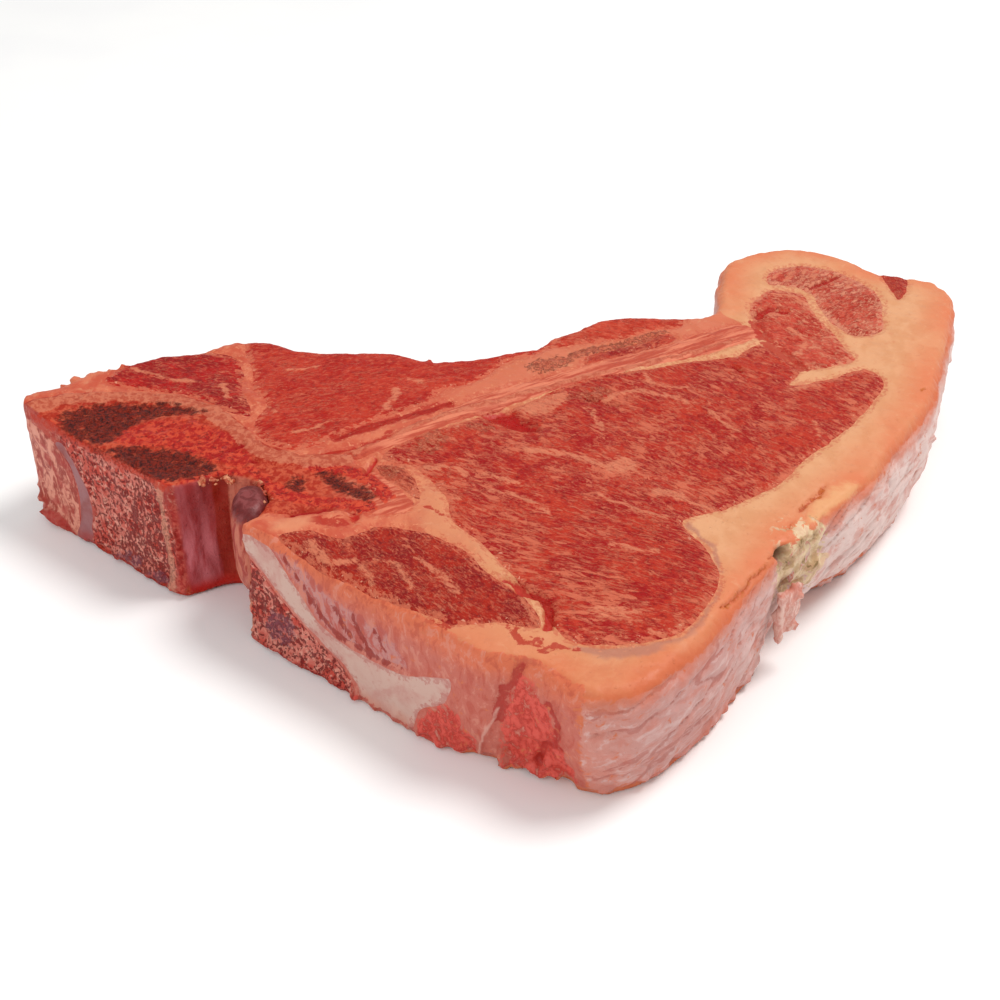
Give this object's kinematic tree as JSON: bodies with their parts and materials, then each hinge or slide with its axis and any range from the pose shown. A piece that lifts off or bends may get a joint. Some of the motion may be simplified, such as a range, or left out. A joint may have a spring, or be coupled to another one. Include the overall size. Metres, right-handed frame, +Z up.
{
  "type": "raw t-bone steak",
  "caption": "Raw T-bone steak: a flat slab of lean muscle and fat cut across a T-shaped bone, with a sawn backbone edge, a thick fat edge and a curled tail.",
  "frame": {"origin": "on the floor under the middle of the steak's bounding box", "axes": "+Z up out of the cut face, +X along the steak from the left tip of the backbone to the fat edge, +Y towards the tail"},
  "size_m": [0.2258, 0.1804, 0.0326],
  "materials": {
    "lean": "moist raw muscle with fine marbling",
    "dark_lean": "moist dark raw muscle",
    "fat": "firm waxy fat, peach to cream",
    "bone": "sawn spongy bone with brown marrow",
    "cartilage": "smooth pale cartilage",
    "ligament": "fibrous ligament",
    "nerve": "moist grey nerve"
  },
  "bodies": {
    "root": {"t_bone": "bone", "disc_cartilage": "cartilage", "disc_ligament": "ligament", "spine_cartilage": "cartilage", "spinal_nerve": "nerve", "tenderloin": "lean", "side_muscle": "dark_lean", "strip_loin": "lean", "backbone_muscle": "lean", "small_muscle": "dark_lean", "flank_muscle": "lean", "bar_strip": "dark_lean", "back_strip": "dark_lean", "tail_inner_muscle": "lean", "tail_outer_muscle": "lean", "tail_spot": "dark_lean", "corner_fat": "fat", "side_fat": "fat", "tenderloin_fat": "fat", "fat_cap": "fat"}
  },
  "joints": []
}
